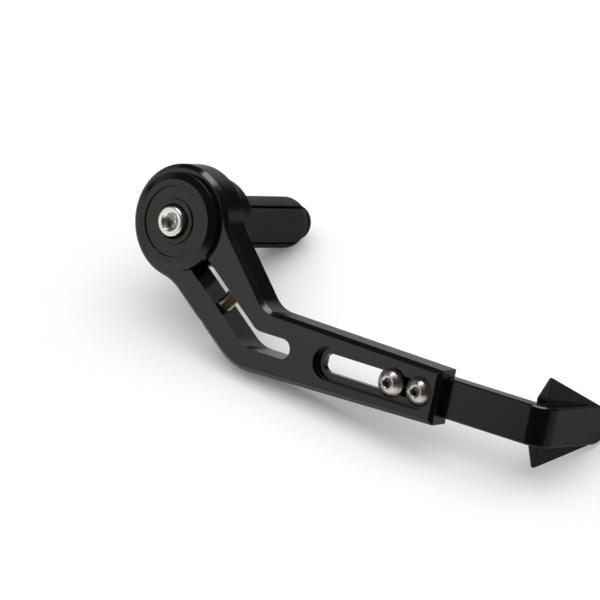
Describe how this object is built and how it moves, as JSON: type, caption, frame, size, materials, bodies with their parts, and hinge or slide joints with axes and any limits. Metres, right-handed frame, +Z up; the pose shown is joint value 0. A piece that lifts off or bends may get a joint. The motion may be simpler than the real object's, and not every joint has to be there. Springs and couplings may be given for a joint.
{
  "type": "brake_lever_guard",
  "caption": "Bar-end guard: a split clamp arm with a long slot, a bent sliding blade with an arrow-shaped tip, and an expanding sleeve that fixes it in a handlebar's end",
  "frame": {"origin": "centre of the handlebar's end face, where the rear collar stops on it, on the axis of the expander sleeve", "axes": "+Y into the handlebar along the fixing's axis, +X along the arm's outer leg towards the blade, +Z up, square to both"},
  "size_m": [0.1692, 0.0759, 0.0636],
  "materials": {
    "dark_anodised": "bead-blasted and black anodised, satin",
    "stainless": "turned, satin",
    "black_plastic": "moulded, matt",
    "nut_steel": "knurled, dark",
    "yellow_zinc": "zinc plated, yellow passivated"
  },
  "bodies": {
    "bar_end": {"end_weight": "dark_anodised", "face_ring": "dark_anodised", "rear_collar": "dark_anodised", "centre_screw": "stainless", "expander_sleeve": "black_plastic", "cone_nut": "nut_steel"},
    "arm": {"guard_arm": "dark_anodised", "clamp_screw": "yellow_zinc"},
    "blade_set": {"blade": "dark_anodised", "slot_screw_inner": "stainless", "slot_screw_outer": "stainless"}
  },
  "joints": [
    {"name": "arm_swivel", "type": "hinge", "parent": "bar_end", "child": "arm", "pos_m": [0, -0.0162, 0], "axis": [0, 1, 0], "continuous": true},
    {"name": "blade_slide", "type": "slide", "parent": "arm", "child": "blade_set", "axis": [1, 0, 0], "range_m": [-0.0226, 0.0003]}
  ]
}
